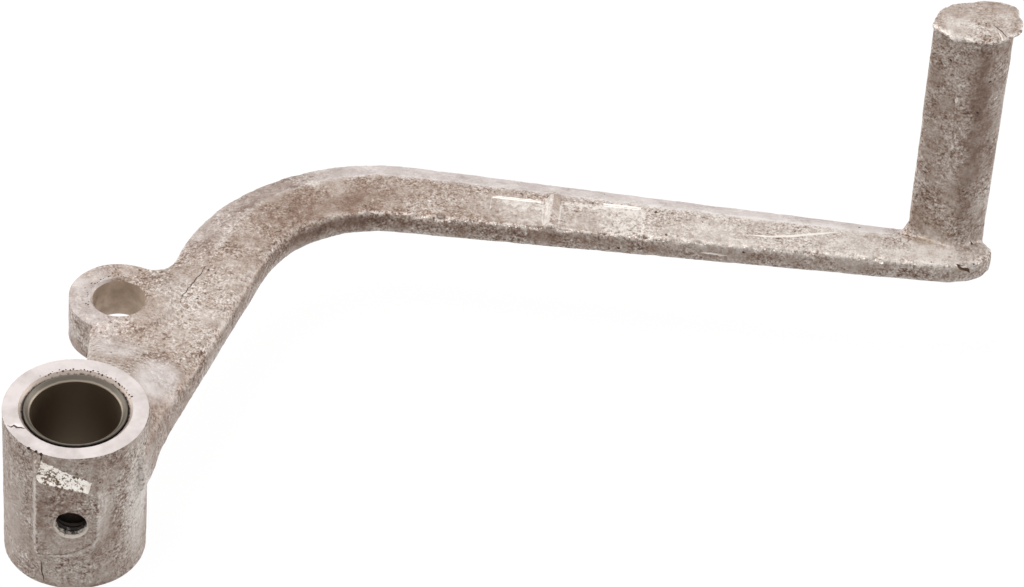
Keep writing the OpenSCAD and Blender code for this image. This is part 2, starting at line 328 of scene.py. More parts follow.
def join(parts: list[bpy.types.Object]) -> bpy.types.Object:
    """Joins objects into the first of them.

    Args:
        parts: the objects.

    Returns:
        The first object, which now has the points of all.
    """
    first = parts[0]
    with bpy.context.temp_override(
        active_object=first, object=first, selected_objects=parts, selected_editable_objects=parts
    ):
        bpy.ops.object.join()
    return first


def ramp(x: np.ndarray, start: float, end: float) -> np.ndarray:
    """Smooth step from 0 at start to 1 at end."""
    t = np.clip((x - start) / (end - start), 0, 1)
    return t * t * (3 - 2 * t)


class Skin:
    """Points, normals and edges of a mesh as arrays."""

    def __init__(self, mesh: bpy.types.Mesh) -> None:
        """Reads the mesh."""
        self.mesh = mesh
        self.count = len(mesh.vertices)
        self.points = self.read(mesh.vertices, "co", 3)
        self.normals = self.read(mesh.vertices, "normal", 3)
        self.edges = self.read(mesh.edges, "vertices", 2, np.int64)
        self.valence = np.bincount(self.edges.ravel(), minlength=self.count).astype(float)

    @staticmethod
    def read(items: Any, name: str, width: int, kind: type = np.float64) -> np.ndarray:
        """Reads one property of all items, one row each."""
        flat = np.empty(len(items) * width, kind)
        items.foreach_get(name, flat)
        return flat.reshape(-1, width)

    def around(self, values: np.ndarray) -> np.ndarray:
        """Mean of a value over the neighbours of each point.

        Args:
            values: one number or one row for each point.

        Returns:
            The means, in the same form.
        """
        if values.ndim == 1:
            a, b = self.edges.T
            total = np.bincount(a, values[b], self.count) + np.bincount(b, values[a], self.count)
            return total / self.valence
        return np.stack([self.around(column) for column in values.T], 1)

    def store(self) -> None:
        """Puts the changed points back into the mesh."""
        self.mesh.vertices.foreach_set("co", self.points.astype(np.float32).ravel())
        self.mesh.update()

    def keep(self, name: str, values: np.ndarray) -> None:
        """Keeps one number for each point, for a material to read."""
        layer = self.mesh.attributes.new(name, "FLOAT", "POINT")
        layer.data.foreach_set("value", values.astype(np.float32))


def beyond(points: np.ndarray, line: Sequence[tuple[float, float]]) -> np.ndarray:
    """How far points lie to the left of a line in the plan, or below nought to its right.

    Args:
        points: one row each.
        line: corners of the line.

    Returns:
        The distances, in the unit of the points.
    """
    best = np.full(len(points), np.inf)
    signed = np.zeros(len(points))
    corners = np.array(line, float)
    for a, b in zip(corners, corners[1:]):
        along = b - a
        off = points[:, :2] - a
        t = np.clip(off @ along / (along @ along), 0, 1)
        away = off - t[:, None] * along
        distance = np.hypot(away[:, 0], away[:, 1])
        side = np.sign(along[0] * off[:, 1] - along[1] * off[:, 0])
        nearer = distance < best
        best = np.where(nearer, distance, best)
        signed = np.where(nearer, distance * side, signed)
    return signed


def grain_of(points: np.ndarray, size: float, seed: float = 0.0) -> np.ndarray:
    """Smooth noise between about -1 and 1 whose lumps are about size across."""
    shift = Vector((seed, seed * 1.7, seed * 2.3))
    return np.array([noise.noise(Vector(q) / size + shift) for q in points])


@dataclass(frozen=True)
class LeverSizes:
    """Sizes of the lever in mm, as its solids have them; heights from the middle of the hub."""

    hub_half: float = 19.7
    hub_top_r: float = 16.0
    hub_base_r: float = 15.7
    seat_r: float = 11.5
    seat_chamfer: float = 1.0
    pivot_r: float = 10.0
    eye_xy: tuple[float, float] = (2.6, 45.0)
    eye_r: float = 11.3
    eye_bore_r: float = 6.0
    eye_t: float = 10.5
    eye_top: float = 13.0
    eye_breaks: tuple[float, float] = (0.2, 0.5)
    arm_top: float = 12.0
    pad_angle: float = 5.8
    pad_y: float = 16.7
    tap_r: float = 3.325
    tap_mouth_r: float = 4.1
    tap_bottom: float = 12.3
    tap_z: float = 0.3
    grease_r: float = 1.5
    thread_pitch: float = 1.25
    thread_depth: float = 0.55
    rib_x: float = 95.9
    rib_h: float = 1.1
    rib_foot: float = 1.7
    rib_crest: float = 0.25
    rib_ends: tuple[float, float] = (86.4, 97.3)
    peg_top: float = 72.9
    cap_t: float = 1.3

    def pad_axes(self) -> Matrix:
        """Axes of the pad: +X to the right along it, +Y up, +Z from the pivot axis out of it."""
        turn = Matrix.Rotation(math.radians(self.pad_angle), 4, "Z")
        return turn @ Matrix.Rotation(math.radians(90), 4, "X")

    def tap_frame(self) -> Matrix:
        """The same axes at the height of the tapped hole."""
        return Matrix.Translation((0, 0, self.tap_z)) @ self.pad_axes()


SIZES = LeverSizes()

# Ridge between the top of the arm and its far bevel, from the crease past the eye to the peg
RIDGE = (
    (15.8, 46.1), (17.9, 53.2), (20.7, 60.8), (23.1, 69.5), (25.8, 77.4), (29.7, 83.7), (34.9, 88.8),
    (44.1, 94.5), (55.1, 98.2), (69.4, 98.3), (116.0, 97.2), (178.0, 96.2),
)
# Outline of the milled face of the pad and the upper edge of the filed slope above it, on the pad
PAD_FACE = (
    (-7.4, 16.0), (-7.4, -7.2), (-7.0, -8.4), (-6.1, -8.9), (-1.2, -8.5), (1.8, -7.2), (4.4, -5.0),
    (5.4, -3.4), (5.6, 9.6),
)
PAD_SLOPE = ((-7.7, 13.2), (3.8, 10.3))


class Finish(Enum):
    """Surfaces of the lever, each with its own material."""

    CAST = "as cast"
    FACED = "faced"
    SEAT = "chamfer of the seat"
    BORED = "bored"
    PANEL = "ground panel"
    PAD = "face of the pad"
    FILED = "filed"
    TAPPED = "tapped"
    BRIGHT = "fresh scratch and painted glint"
    CRACK = "dirty crack"
    RUST = "rusty crack"


@dataclass(frozen=True)
class CastAluminiumSkin:
    """Sand-cast aluminium left as cast and weathered. It is dull and warm grey, sandy with pale
    and dark specks, mottled, bruised pale along its edges, darker in its hollows with grime and
    painted shade, and porous."""

    name: str = "sand_cast_aluminium_weathered"
    # From grime in the grain to bare bright metal: as cast, and where boots have rubbed it
    tones: tuple[str, ...] = ("#584236", "#8A7060", "#B19F93", "#CFC3BA", "#EEE6DF")
    rubbed_tones: tuple[str, ...] = ("#6A5B54", "#9A8B85", "#BCAFAA", "#D8CDC9", "#F0E9E6")
    stops: tuple[float, ...] = (0.0, 0.28, 0.5, 0.72, 1.0)
    grime: str = "#40342A"
    worn: str = "#EFE8E1"
    oxide: str = "#8C7340"
    # Sizes in mm. Sand grain is finer than grain_mm; it is drawn as coarse as it needs to show
    blotch_mm: float = 12.0
    loud_mm: float = 8.0
    pore_mm: float = 3.1
    mottle_mm: float = 3.0
    grit_mm: float = 1.1
    fleck_mm: float = 0.85
    grain_mm: float = 0.5
    # How much each cloud counts in the tone
    blotch_share: float = 0.5
    mottle_share: float = 0.55
    grain_share: float = 1.5
    # Noise at which a fleck starts and is full, and what it adds to or takes off the tone
    pale_fleck: Point = (0.58, 0.72, 0.40)
    dark_fleck: Point = (0.42, 0.28, 0.36)
    # The sandy contrast comes and goes between these, and polish and calm take this much off it
    loud_range: tuple[float, float] = (0.4, 1.15)
    calm_loss: float = 0.8
    # Pores open in the cells whose number is above this, up to this share of a cell wide
    pore_from: float = 0.6
    pore_share: float = 0.13
    # Wear and grime are full in the grains above the second of these and absent below the first
    patch_range: tuple[float, float] = (0.45, 0.56)
    # Relief in mm of mottle, sand and pores
    mottle_relief: float = 0.30
    sand_relief: float = 0.10
    pore_relief: float = -0.3
    metallic: float = 0.35
    roughness: tuple[float, float] = (0.42, 0.6)
    # Added to the tone everywhere: above nought for ground places, below for grimy ones
    lift: float = 0.0

    def build(self) -> bpy.types.Material:
        """Builds the material.

        Returns:
            The material. It reads tone, polish, calm, edge_wear, hollow and stain off the piece.
        """
        material, nodes = new_material(self.name)
        math, span, blend, cloud = nodes.math, nodes.span, nodes.blend, nodes.cloud
        at = nodes.place()
        blotch = math("SUBTRACT", cloud(at, self.blotch_mm, 3.0), 0.5)
        mottle = cloud(at, self.mottle_mm, 4.0, 0.6)
        grit = cloud(at, self.grit_mm, 3.0, 0.6)
        grain = cloud(at, self.grain_mm, 2.0, 0.6)
        fleck = cloud(at, self.fleck_mm, 2.0)
        polish = nodes.attribute("polish")
        smooth = math("MAXIMUM", polish, nodes.attribute("calm"))
        loud = span(cloud(at, self.loud_mm, 2.0), 0.38, 0.62, *self.loud_range)
        sandy = math("MULTIPLY", math("MULTIPLY_ADD", smooth, -self.calm_loss, 1.0), loud)
        fine = math("MULTIPLY", math("SUBTRACT", grain, 0.5), self.grain_share)
        coarse = math("ADD", math("SUBTRACT", grit, 0.5), fine)
        (pale_0, pale_1, pale), (dark_0, dark_1, dark) = self.pale_fleck, self.dark_fleck
        bright = math("ADD", coarse, span(fleck, pale_0, pale_1, 0.0, pale))
        flecked = math("SUBTRACT", bright, span(fleck, dark_0, dark_1, 0.0, dark))
        lifted = math("ADD", nodes.attribute("tone"), self.lift)
        wide = math("MULTIPLY_ADD", blotch, self.blotch_share, lifted)
        base = math("MULTIPLY_ADD", math("SUBTRACT", mottle, 0.5), self.mottle_share, wide)
        value = math("ADD", base, math("MULTIPLY", flecked, sandy), clamp=True)
        as_cast = nodes.tones(value, list(zip(self.stops, self.tones)))
        rubbed = nodes.tones(value, list(zip(self.stops, self.rubbed_tones)))
        # Open pores: one dark speck in some of the cells, none in the others
        cells = put(nodes.tree, "ShaderNodeTexVoronoi", {"Vector": at, "Scale": 1 / self.pore_mm})
        chosen = put(nodes.tree, "ShaderNodeSeparateColor", {0: cells.outputs["Color"]}).outputs[0]
        pore_r = span(chosen, self.pore_from, 1.0, 0.0, self.pore_share)
        pore = span(cells.outputs["Distance"], pore_r, 0.0)
        # Grime and painted shade darken grains of the hollows, wear shows on broken lengths of the edges
        patchy = span(math("MULTIPLY", math("ADD", grit, grain), 0.5), *self.patch_range)
        bare = math("MULTIPLY", nodes.attribute("edge_wear"), patchy)
        between_grains = math("MULTIPLY_ADD", patchy, -0.6, 1.0)
        dirty = math("MULTIPLY", nodes.attribute("hollow"), between_grains)
        rusty = math("MULTIPLY", nodes.attribute("stain"), patchy)
        pored = blend(math("MULTIPLY", pore, sandy), blend(polish, as_cast, rubbed), self.grime)
        grimy = blend(dirty, blend(bare, pored, self.worn), self.grime)
        low = math("MULTIPLY", mottle, self.mottle_relief)
        height = math("MULTIPLY_ADD", math("MULTIPLY", coarse, sandy), self.sand_relief, low)
        relief = nodes.bump(math("MULTIPLY_ADD", pore, self.pore_relief, height), 1.0, 1.0)
        roughness = span(mottle, 0.3, 0.7, *self.roughness)
        nodes.metal(blend(rusty, grimy, self.oxide), self.metallic, roughness, relief)
        return material


@dataclass(frozen=True)
class TurnedAluminium:
    """Aluminium cut by a turning tool: pale, even and smoother than the cast skin, with faint
    rings round the axis of the cut and old oil in clouds."""

    name: str
    base: str
    stain: str
    roughness: float
    axis_mm: Point = (0.0, 0.0, 0.0)
    stain_share: float = 0.5
    stain_range: tuple[float, float] = (0.4, 0.66)
    metallic: float = 0.35
    ring_mm: float = 0.45
    ring_relief: float = 0.03
    cloud_mm: float = 4.0

    def build(self) -> bpy.types.Material:
        """Builds the material.

        Returns:
            The material.
        """
        material, nodes = new_material(self.name)
        at = nodes.place()
        inputs = {"W": nodes.from_axis(at, self.axis_mm), "Scale": 1 / self.ring_mm, "Detail": 2.0}
        rings = put(nodes.tree, "ShaderNodeTexNoise", inputs, noise_dimensions="1D").outputs["Fac"]
        cloud = nodes.cloud(at, self.cloud_mm, 5.0, 0.6)
        amount = nodes.span(cloud, *self.stain_range, 0.0, self.stain_share)
        colour = nodes.blend(amount, self.base, self.stain)
        nodes.metal(colour, self.metallic, self.roughness, nodes.bump(rings, self.ring_relief))
        return material


@dataclass(frozen=True)
class DarkeningMetal:
    """Metal that goes from one colour to a darker one, such as a bore painted darker with depth as
    shade: two colours by the distance from an axis or along one, broken up by small clouds."""

    name: str
    start_colour: str
    end_colour: str
    start_at: float
    end_at: float
    along: Point | None = None
    roughness: float = 0.45
    metallic: float = 0.4
    cloud_mm: float = 0.9
    cloud_share: float = 0.8
    relief: float = 0.05

    def build(self) -> bpy.types.Material:
        """Builds the material.

        Returns:
            The material.
        """
        material, nodes = new_material(self.name)
        at = nodes.place()
        if self.along is None:
            measure = nodes.from_axis(at)
        else:
            measure = nodes.vector("DOT_PRODUCT", at, self.along)
        cloud = nodes.cloud(at, self.cloud_mm, 4.0, 0.6)
        near = (self.end_at - self.start_at) * self.cloud_share
        reach = nodes.math("ADD", measure, nodes.span(cloud, 0.3, 0.7, -near, near))
        # How far it has gone dark: painted shade in a hole, grime and painted shade at a joint
        grime = nodes.span(reach, self.start_at, self.end_at)
        colour = nodes.blend(grime, self.start_colour, self.end_colour)
        nodes.metal(colour, self.metallic, self.roughness, nodes.bump(cloud, self.relief))
        return material


@dataclass(frozen=True)
class TurnedSteel:
    """Turned bearing steel, dull with old oil: an olive grey rim with a polished inner edge, a
    dark line of grime and painted shade where it meets its seat, and a dark brown bore."""

    name: str
    bore_r: float
    outer_r: float
    # Tones from the bore, at 0, to the seat, at 1; the near-black tone at the seat is grime and painted
    # shade in the joint
    stops: tuple[tuple[float, str], ...] = (
        (0.04, "#7A6A57"), (0.12, "#A89D8F"), (0.3, "#6E665B"), (0.8, "#6E665B"), (0.95, "#1F1913"),
    )
    cloud_mm: float = 1.6
    wander_mm: float = 0.05
    metallic: float = 0.6
    roughness: float = 0.45

    def build(self) -> bpy.types.Material:
        """Builds the material.

        Returns:
            The material.
        """
        material, nodes = new_material(self.name)
        at = nodes.place()
        cloud = nodes.cloud(at, self.cloud_mm, 4.0)
        wander = nodes.span(cloud, 0.3, 0.7, -self.wander_mm, self.wander_mm)
        reach = nodes.math("ADD", nodes.from_axis(at), wander)
        share = nodes.span(reach, self.bore_r, self.outer_r)
        nodes.metal(nodes.tones(share, self.stops), self.metallic, self.roughness, None)
        return material


def lever_finishes(s: LeverSizes) -> dict[Finish, Any]:
    """Finish of each kind of surface of the casting.

    Args:
        s: sizes of the lever.

    Returns:
        The finishes by kind of surface.
    """
    to_pad = s.pad_axes().to_3x3() @ Vector(UP)
    eye = (*s.eye_xy, 0.0)
    return {
        Finish.CAST: CastAluminiumSkin(),
        Finish.PANEL: CastAluminiumSkin("ground_panel_and_painted_lit_rib_aluminium", lift=0.25),
        Finish.PAD: CastAluminiumSkin("milled_aluminium_pad_grimy"),
        # The filed slope's near-white tones are a painted highlight where it faces up to the light, over
        # filed metal
        Finish.FILED: CastAluminiumSkin(
            "filed_aluminium_painted_bright",
            tones=("#4A3A2E", "#8C7B6B", "#F2E9DF", "#FFFAF4", "#FFFEFA"),
            stops=(0.0, 0.36, 0.47, 0.6, 1.0),
            metallic=0.75,
            lift=0.03,
        ),
        Finish.FACED: TurnedAluminium("faced_aluminium", "#E2D8D5", "#A69A94", 0.5, cloud_mm=6.0),
        # The seat's chamfer goes dark towards the bush: grime and painted shade in the joint
        Finish.SEAT: DarkeningMetal(
            "seat_chamfer_aluminium", "#C2B2A6", "#2A2119", s.seat_r + 0.45, s.seat_r + 0.1
        ),
        Finish.BORED: TurnedAluminium("bored_aluminium", "#DECBB8", "#A5917D", 0.55, eye, 0.75),
        # The tapped hole is painted darker deeper in, as shade
        Finish.TAPPED: DarkeningMetal(
            "tapped_aluminium", "#E9DED2", "#2B231C", s.pad_y - 0.9, s.pad_y - 2.4, tuple(to_pad)
        ),
        # Fresh scratches and chips, and the painted highlight along the far edges of the panels
        Finish.BRIGHT: TurnedAluminium("scratched_aluminium_and_painted_glint", "#FFF9F2", "#EDE4DA", 0.45),
        Finish.RUST: TurnedAluminium(
            "rust_in_a_crack", "#7D5B47", "#46342A", 0.8, metallic=0.0, cloud_mm=1.0
        ),
        Finish.CRACK: TurnedAluminium("grime_in_a_crack", "#66564A", "#4A3D33", 0.8, metallic=0.0),
    }


@dataclass(frozen=True)
class Groove:
    """A scratch, crack or crease along a line on the skin, in mm."""

    name: str
    line: tuple[Point, ...]
    width: float
    depth: float
    finish: Finish
    up: Point = UP
    wander: float = 0.12
    step: float = 0.8
    lift: float = 0.4

    def build(self, skin: BVHTree) -> bpy.types.Object:
        """Builds the V-shaped tool that cuts the groove.

        Args:
            skin: the surface that the line is laid on.

        Returns:
            The tool.
        """
        up = Vector(self.up).normalized()
        spots: list[Vector] = []
        for a, b in zip(self.line, self.line[1:]):
            a, b = Vector(a), Vector(b)
            count = max(1, round((b - a).length / self.step))
            spots += [a.lerp(b, i / count) for i in range(count)]
        spots.append(Vector(self.line[-1]))
        laid = []
        for i, spot in enumerate(spots):
            heading = (spots[min(i + 1, len(spots) - 1)] - spots[max(i - 1, 0)]).normalized()
            side = heading.cross(up).normalized()
            shifted = spot + side * self.wander * noise.noise(spot * 2.6)
            hit, _, _, _ = skin.ray_cast(shifted - SIGHT * SEEK, SIGHT)
            share = math.sin(math.pi * (i + 0.35) / (len(spots) - 0.3)) ** 0.5
            laid.append((hit or shifted, side, share))
        rings = []
        for base, side, share in laid:
            wide = self.width / 2 * share * (1 + self.lift / self.depth)
            top = base + up * self.lift
            low = base - up * self.depth * share
            rings.append(np.array([top - side * wide, top + side * wide, low]))
        return loft(self.name, rings)


@dataclass(frozen=True)
class Pit:
    """A pore, chip or dent of the skin, in mm."""

    place: Point
    radius: float
    depth: float
    up: Point = UP
    long: float = 1.3
    seen: bool = True

    def build(self, skin: BVHTree, seed: int) -> bpy.types.Object:
        """Builds the lumpy tool that cuts the pit.

        Args:
            skin: the surface that the pit is in.
            seed: number of the pit, which gives it a form of its own.

        Returns:
            The tool.
        """
        up = Vector(self.up).normalized()
        line = SIGHT if self.seen else -up
        hit, _, _, _ = skin.ray_cast(Vector(self.place) - line * SEEK, line)
        centre = hit or Vector(self.place)
        turn = up.to_track_quat("Z", "Y").to_matrix().to_4x4() @ Matrix.Rotation(seed * 2.4, 4, "Z")
        profile = [(0.35, -1.0), (0.8, -0.6), (1.0, 0.0), (1.0, 0.6), (0.6, 1.0)]
        tool = lathe(f"pit_{seed}", profile, 9)
        for vert in tool.data.vertices:
            lump = 1 + 0.35 * noise.noise(vert.co * 1.4 + Vector((seed, 0, 0)))
            wide = self.radius * lump
            vert.co = Vector((vert.co.x * wide * self.long, vert.co.y * wide, vert.co.z * self.depth))
        return move(tool, Matrix.Translation(centre) @ turn)


@dataclass(frozen=True)
class Patch:
    """A soft-edged place of the skin that is paler, darker, smoother or stained, in mm."""

    name: str
    centre: Point
    reach: Point
    tone: float = 0.0
    polish: float = 0.0
    calm: float = 0.0
    stain: float = 0.0

    def weight(self, points: np.ndarray) -> np.ndarray:
        """How much each point belongs to the patch, from 0 to 1."""
        off = (points - np.array(self.centre)) / np.array(self.reach)
        return 1 - ramp((off**2).sum(1) ** 0.5, 0.5, 1.25)


# Paler, darker, smoother and stained places: wear and stains, and painted light and shade where marked
WEAR_AND_PAINTED_LIGHT_PATCHES = (
    Patch("straight run rubbed by the boot", (150, 91, 12), (62, 9, 4), tone=0.22),
    Patch("right end of the right panel", (112, 91, 12), (6, 6, 3), tone=0.16),
    Patch("left panel", (87, 91, 12), (8, 6, 3), tone=0.16),
    Patch("side of the eye", (-5, 37, 8), (8, 7, 5), tone=0.16),
    Patch("shaded bend", (44, 84, 12), (26, 17, 6), tone=-0.13, calm=0.5),
    Patch("run before the panels", (70, 91, 12), (12, 9, 3), tone=-0.01, calm=0.4),
    Patch("first leg", (21, 44, 12), (11, 18, 5), tone=0.12),
    Patch("rough patch at the ridge of the bend", (44, 92.5, 12), (7, 3.2, 3), tone=0.16),
    Patch("ramp beside the hub", (15.5, 18, 15), (5.5, 9, 6), tone=0.28, polish=0.75),
    Patch("web below the eye", (3, 27, 14), (8, 7, 5), tone=0.16, polish=0.6),
    # Painted highlight on the left of the eye's face, where the edge of the hole catches the light, over
    # smoother skin
    Patch("left of the eye's face", (-3.5, 44, 13), (9, 13, 0.9), tone=0.11, polish=0.85),
    Patch("right of the eye's face", (11, 46, 13), (6, 10, 0.9), tone=0.02, calm=0.2),
    Patch("rubbed foot of the peg", (181, 91.5, 12), (10, 3.8, 2.5), tone=0.18),
    Patch("dark front of the peg", (190.5, 93, 46), (3.6, 5, 30), tone=-0.2, calm=0.9),
    # Painted light on the right side of the peg, which faces the light from the right
    Patch("right side of the peg", (197, 97, 20), (3.2, 9, 24), tone=0.08),
    Patch("front of the cap", (184.5, 96.5, 73), (10, 4.6, 1.2), tone=0.24, calm=0.4),
    Patch("back of the cap", (188, 103.5, 73), (13, 7, 1.2), tone=0.08, calm=0.6),
    # Painted highlights on both flanks of the hub, where they catch the light at a grazing angle
    Patch("right flank of the hub", (14.5, -5.5, 2), (3.2, 6, 20), tone=0.34),
    Patch("left flank of the hub", (-12, -10, 0), (4, 6, 19), tone=0.08, calm=0.5),
    Patch("upper face of the pad", (1.7, -17, 6.5), (8, 2.6, 5), tone=-0.14),
    Patch("lower face of the pad", (1.7, -17, -5), (8, 2.6, 5), tone=0.12),
    Patch("right of the pad", (8.6, -13.3, 2), (2.2, 3, 9), tone=0.13, calm=0.6),
    Patch("foot of the hub", (2, -15, -15), (14, 8, 5), tone=0.08),
    Patch("end of the arm", (190, 87, 9), (8, 4, 4), tone=0.14),
    Patch("pitted place before the peg", (175.3, 92.9, 12), (3.4, 2.2, 2), tone=-0.16),
    Patch("rib", (95.9, 92, 12.6), (2.1, 7.5, 2), calm=1.0),
    Patch("oxide at the foot of the peg", (181, 95.6, 12.6), (3.2, 1.2, 1.6), stain=0.9),
    Patch("rust at the end of the arm", (191, 87, 11), (2.2, 1.6, 2), tone=-0.2, stain=0.5),
)

PEG_UP = (-0.34, -0.94, 0.0)
FLASH_UP = (-0.32, -0.947, 0.0)
SLANT = (0.0, -0.7, 0.7)
CAST_GROOVES = (
    Groove("crease_by_the_eye", ((14.6, 40.4, 12), (16.3, 48.0, 12)), 0.4, 0.15, Finish.CAST, wander=0.5),
    Groove(
        "crease_past_the_eye", ((16.0, 47.0, 12), (17.9, 53.2, 12), (20.7, 60.8, 12)),
        0.26, 0.1, Finish.CRACK, wander=0.5, lift=0.1,
    ),
    Groove(
        "crease_before_the_bend", ((20.4, 60.0, 12), (23.1, 69.5, 12), (25.8, 77.4, 12)),
        0.4, 0.15, Finish.CAST, wander=0.5,
    ),
    Groove(
        "boot_scratch",
        ((141.6, 90.8, 12), (146.4, 91.0, 12), (150.7, 91.9, 12), (156.6, 93.6, 12), (162.3, 95.3, 12)),
        0.8, 0.12, Finish.BRIGHT, wander=0.03, lift=0.1,
    ),
    Groove(
        "peg_scratch", ((184.6, 96.0, 54.5), (184.5, 96.05, 53.0)),
        0.8, 0.4, Finish.BRIGHT, PEG_UP, 0.0,
    ),
    Groove(
        "rust_crack", ((189.4, 87.9, 12), (191.2, 86.9, 12), (192.9, 86.1, 12)),
        0.75, 0.3, Finish.RUST, SLANT, 0.4,
    ),
    Groove(
        "lower_flash_line", ((-5.1, -14.9, -12.6), (-4.5, -15.2, -19.0)),
        0.35, 0.18, Finish.CRACK, FLASH_UP, 0.5,
    ),
    Groove(
        "upper_flash_line", ((-5.2, -15.0, 19.0), (-4.8, -15.2, 17.4)),
        0.4, 0.22, Finish.CRACK, FLASH_UP, 0.4,
    ),
    Groove(
        "cap_crack", ((190.9, 100.0, 72.9), (192.4, 98.4, 72.9), (193.7, 96.5, 72.9)),
        0.32, 0.18, Finish.CRACK,
    ),
    Groove("cap_crack_branch", ((191.9, 97.9, 72.9), (193.3, 93.9, 72.9)), 0.3, 0.18, Finish.BRIGHT),
    Groove(
        "near_edge_scratch", ((131, 85.9, 9.4), (137, 85.7, 9.4)),
        0.5, 0.2, Finish.BRIGHT, (0.0, -1.0, 0.2),
    ),
)
RING_GROOVES = (
    Groove(
        "ring_crack", ((-13.6, -7.9, 19.7), (-12.3, -7.4, 19.7), (-9.8, -8.2, 19.7)),
        0.6, 0.2, Finish.CRACK, wander=0.9,
    ),
)
CAST_PITS = (
    Pit((9.45, 55.25, 12), 0.45, 0.4),
    Pit((11.9, 43.3, 12), 0.4, 0.4),
    Pit((119.7, 95.3, 12), 0.35, 0.3),
)
BRIGHT_PITS = (Pit((172.3, 86.2, 12), 0.6, 0.3, (0.0, -0.6, 0.8)),)
RIM_PITS = (
    Pit((-7.9, -14.2, 19.7), 0.5, 0.3),
    Pit((-6.2, -14.9, 19.6), 0.4, 0.3),
    Pit((-5.0, -15.4, 19.5), 0.35, 0.4),
)


